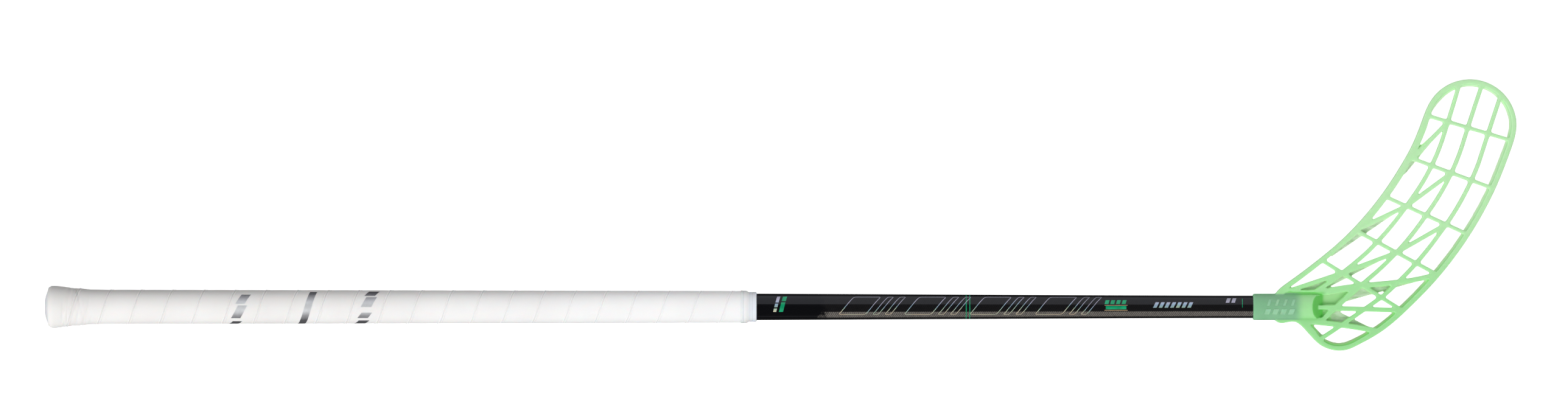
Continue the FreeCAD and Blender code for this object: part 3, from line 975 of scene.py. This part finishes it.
# %% Rounded mouth of the socket
socket_radius, bore_radius = 10.95, 9.25
mouth_round, mouth_drop = 1.7, 1.15
from_axis = np.hypot(places[:, 1], places[:, 2])
drop = mouth_drop * (1 - np.sqrt(1 - np.clip(1 - u / mouth_round, 0, 1) ** 2))
shrink = 1 - drop / (socket_radius - bore_radius)
at_mouth = (u < mouth_round) & (from_axis > bore_radius)
rounded = np.where(at_mouth, (bore_radius + (from_axis - bore_radius) * shrink) / from_axis, 1.0)
places[:, 1] *= rounded
places[:, 2] *= rounded
blade.data.vertices.foreach_set("co", (places * MM).ravel())
blade.data.update()
print("points of the rounded mouth:", int(at_mouth.sum()))

# %% Webs, pockets, slope and walls
# Places are in millimetres from the socket's mouth. Slanted braces end the upper pocket, so its end depends on v.
thin_sheet = (depth > 0.57) & (depth < 0.765) & (np.abs(normals[:, 2]) > 0.8) & (u > 25)
upper_pocket = (u < 83) & (v > 0) & (v < 14) & (u < 71.5 + 1.06 * (v - 1.5))
lower_pocket = (u < 65) & (v > -10.5) & (v < 0)
beside_socket = upper_pocket | lower_pocket
on_web = thin_sheet & ~beside_socket
write_values(blade, "web", on_web.astype(float))
# Painted shade: where the socket's end slopes down and along the grooves beside the neck, the colour turns a darker
# green.
slope_shade_mask = np.clip((u - 47.8) / 1.6, 0, 1) * np.clip((61.0 - u) / 4.0, 0, 1)
slope_shade_mask = slope_shade_mask * (np.abs(v) < 10.6) * (normals[:, 2] > 0.1)
slope_shade_mask = slope_shade_mask * np.clip(np.maximum(6 * normals[:, 0] - 1, 12 * depth - 0.6), 0, 1)
along_neck = np.clip((u - 24) / 14, 0, 1) * np.clip((61 - u) / 4, 0, 1) * (normals[:, 2] > 0.1)
for groove_v, groove_width, share in ((11.3, 1.4, 0.75), (-9.9, 1.5, 0.35)):
    slope_shade_mask = np.maximum(slope_shade_mask, share * along_neck * np.exp(-(((v - groove_v) / groove_width) ** 2)))
write_values(blade, "painted_slope_shade", slope_shade_mask)
write_values(blade, "wall", np.clip(1.8 - 2.0 * np.abs(normals[:, 2]), 0, 1) * (1 - slope_shade_mask))
pocket_floor = beside_socket & (u > 46) & (normals[:, 2] > 0.5)
write_values(blade, "pocket", pocket_floor * np.clip(depth * 6 - 1.2, 0, 1))
print("points on the webs:", int(on_web.sum()))

# %% [markdown]
# ## The blade's finish
#
# The plastic is translucent. Its face is a clear soft green that pales towards the toe. Its walls are more saturated
# near the face and greyer below, and the thin webs are grey-green with fine streaks. That grey is painted light: the
# white ground shining through the thin plastic. Where the dark shaft ends inside the socket the green turns to teal.
# Light wanders through such thin walls and comes out in the hollows, which would take very many light paths to work
# out. So walls, webs and pockets give off a little of their own colour instead, most on the deepest walls.

# %% Blade material
blade_paint = Recipe(
    "translucent green plastic",
    Roughness=0.38,
    Subsurface_Scale=0.004,
    Specular_IOR_Level=0.5,
    Coat_Weight=0.15,
    Coat_Roughness=0.2,
)
blade_paint.shader.inputs["Subsurface Radius"].default_value = (0.6, 1.0, 0.6)
where, (x, y, z) = blade_paint.place()
deep = blade_paint.stored("depth")
web = blade_paint.stored("web")
cloud = blade_paint.math("MULTIPLY", blade_paint.noise(where, 45.0, 4.0), 0.08)
towards_toe = blade_paint.smooth(y, -0.02, 0.09)
face_colour = blade_paint.mix(towards_toe, (0.34, 0.71, 0.32), (0.50, 0.79, 0.46))
wall_colour = blade_paint.mix(towards_toe, (0.25, 0.70, 0.20), (0.50, 0.80, 0.46))
# Painted light: the grey of the deep walls stands for the white ground shining through the thin plastic.
painted_ground_light_colour = blade_paint.mix(towards_toe, (0.37, 0.55, 0.29), (0.54, 0.72, 0.48))
lower = blade_paint.smooth(blade_paint.math("ADD", deep, cloud), 0.42, 0.62)
beside = blade_paint.smooth(blade_paint.math("ADD", deep, cloud), 0.10, 0.24)
painted_slope_shade = blade_paint.stored("painted_slope_shade")
body_colour = blade_paint.mix(beside, face_colour, blade_paint.mix(lower, wall_colour, painted_ground_light_colour))
# Painted shade on the socket's end slope and the grooves beside the neck.
body_colour = blade_paint.mix(painted_slope_shade, body_colour, (0.15, 0.58, 0.12))
streaks = blade_paint.noise(where, 420.0, 3.0, (0.35, 1.0, 1.0))
# The webs' grey-green is painted light from the ground shining through them, with fine streaks in the plastic.
web_colour = blade_paint.ramp(streaks, (0.3, (0.30, 0.43, 0.26)), (0.6, (0.46, 0.55, 0.43)))
with_webs = blade_paint.mix(web, body_colour, web_colour)
pocket = blade_paint.stored("pocket")
with_webs = blade_paint.mix(blade_paint.math("SUBTRACT", pocket, painted_slope_shade), with_webs, (0.37, 0.60, 0.32))
axis_distance = blade_paint.math(
    "SQRT", blade_paint.math("ADD", blade_paint.math("POWER", y, 2.0), blade_paint.math("POWER", z, 2.0))
)
over_shaft = blade_paint.math(
    "MULTIPLY",
    blade_paint.smooth(x, 1.0312, 1.0405, 1.0, 0.0),
    blade_paint.smooth(axis_distance, 0.0113, 0.0124, 1.0, 0.0),
)
teal_share = blade_paint.math("MULTIPLY", over_shaft, 0.92)
seen_colour = blade_paint.mix(teal_share, with_webs, (0.21, 0.46, 0.27))
blade_paint.to("Base Color", seen_colour)
blade_paint.to("Emission Color", seen_colour)
wall = blade_paint.stored("wall")
wall_glow = blade_paint.math("MULTIPLY", wall, blade_paint.smooth(deep, 0.08, 0.55, 0.12, 0.42))
web_glow, pocket_glow = blade_paint.math("MULTIPLY", web, 0.13), blade_paint.math("MULTIPLY", pocket, 0.05)
thin_glow = blade_paint.math("MAXIMUM", web_glow, pocket_glow)
glow = blade_paint.math("MAXIMUM", wall_glow, thin_glow)
blade_paint.to("Emission Strength", glow)
blade_paint.to("Subsurface Weight", blade_paint.smooth(web, 0, 1, 0.6, 0.15))
blade_paint.bump(blade_paint.noise(where, 1500.0, 3.0), 0.00002, 0.25)
finish_with(blade, blade_paint)


# %% [markdown]
# ## Raised bars on the socket
#
# The socket carries two rows of shallow slanted bars. They are coloured a little lighter than the plastic round them,
# a painted highlight on the raised bars.

# %% Raised bars
def on_socket(x, arc, height):
    turn = arc / socket_radius
    return (x * MM, (socket_radius + height) * math.sin(turn) * MM, (socket_radius + height) * math.cos(turn) * MM)


raised = Marks(on_socket, 0.25, 0.5)
for i in range(4):
    raised.bar(1009.0 + i * 6.6, 1.0, 2.0, 5.4, slant=1.9, pieces=10)
    raised.bar(1006.6 + i * 6.6, -6.4, 4.2, 4.6, slant=1.6, pieces=10)
raised_piece = raised.piece("raised_bars")
raised_paint = Recipe("raised plastic", Roughness=0.35, Subsurface_Weight=0.3, Subsurface_Scale=0.003)
where, (x, y, z) = raised_paint.place()
# Painted highlight: the bars are coloured lighter than the teal socket round them.
tone = raised_paint.ramp(raised_paint.noise(where, 200.0), (0.3, (0.27, 0.54, 0.33)), (0.7, (0.32, 0.60, 0.38)))
raised_paint.to("Base Color", tone)
finish_with(raised_piece, raised_paint)


# %% [markdown]
# ## Sizes and the end
#
# The dressed stick has to stay inside the box of the solids. Both boxes are printed in millimetres.

# %% Sizes
dressed_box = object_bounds()
sizes = {
    "cad": [list(corner) for corner in cad_box],
    "visual": [list(corner) for corner in dressed_box],
}
for name, (low, high) in sizes.items():
    print(name, [round(c / MM, 2) for c in low], [round(c / MM, 2) for c in high])
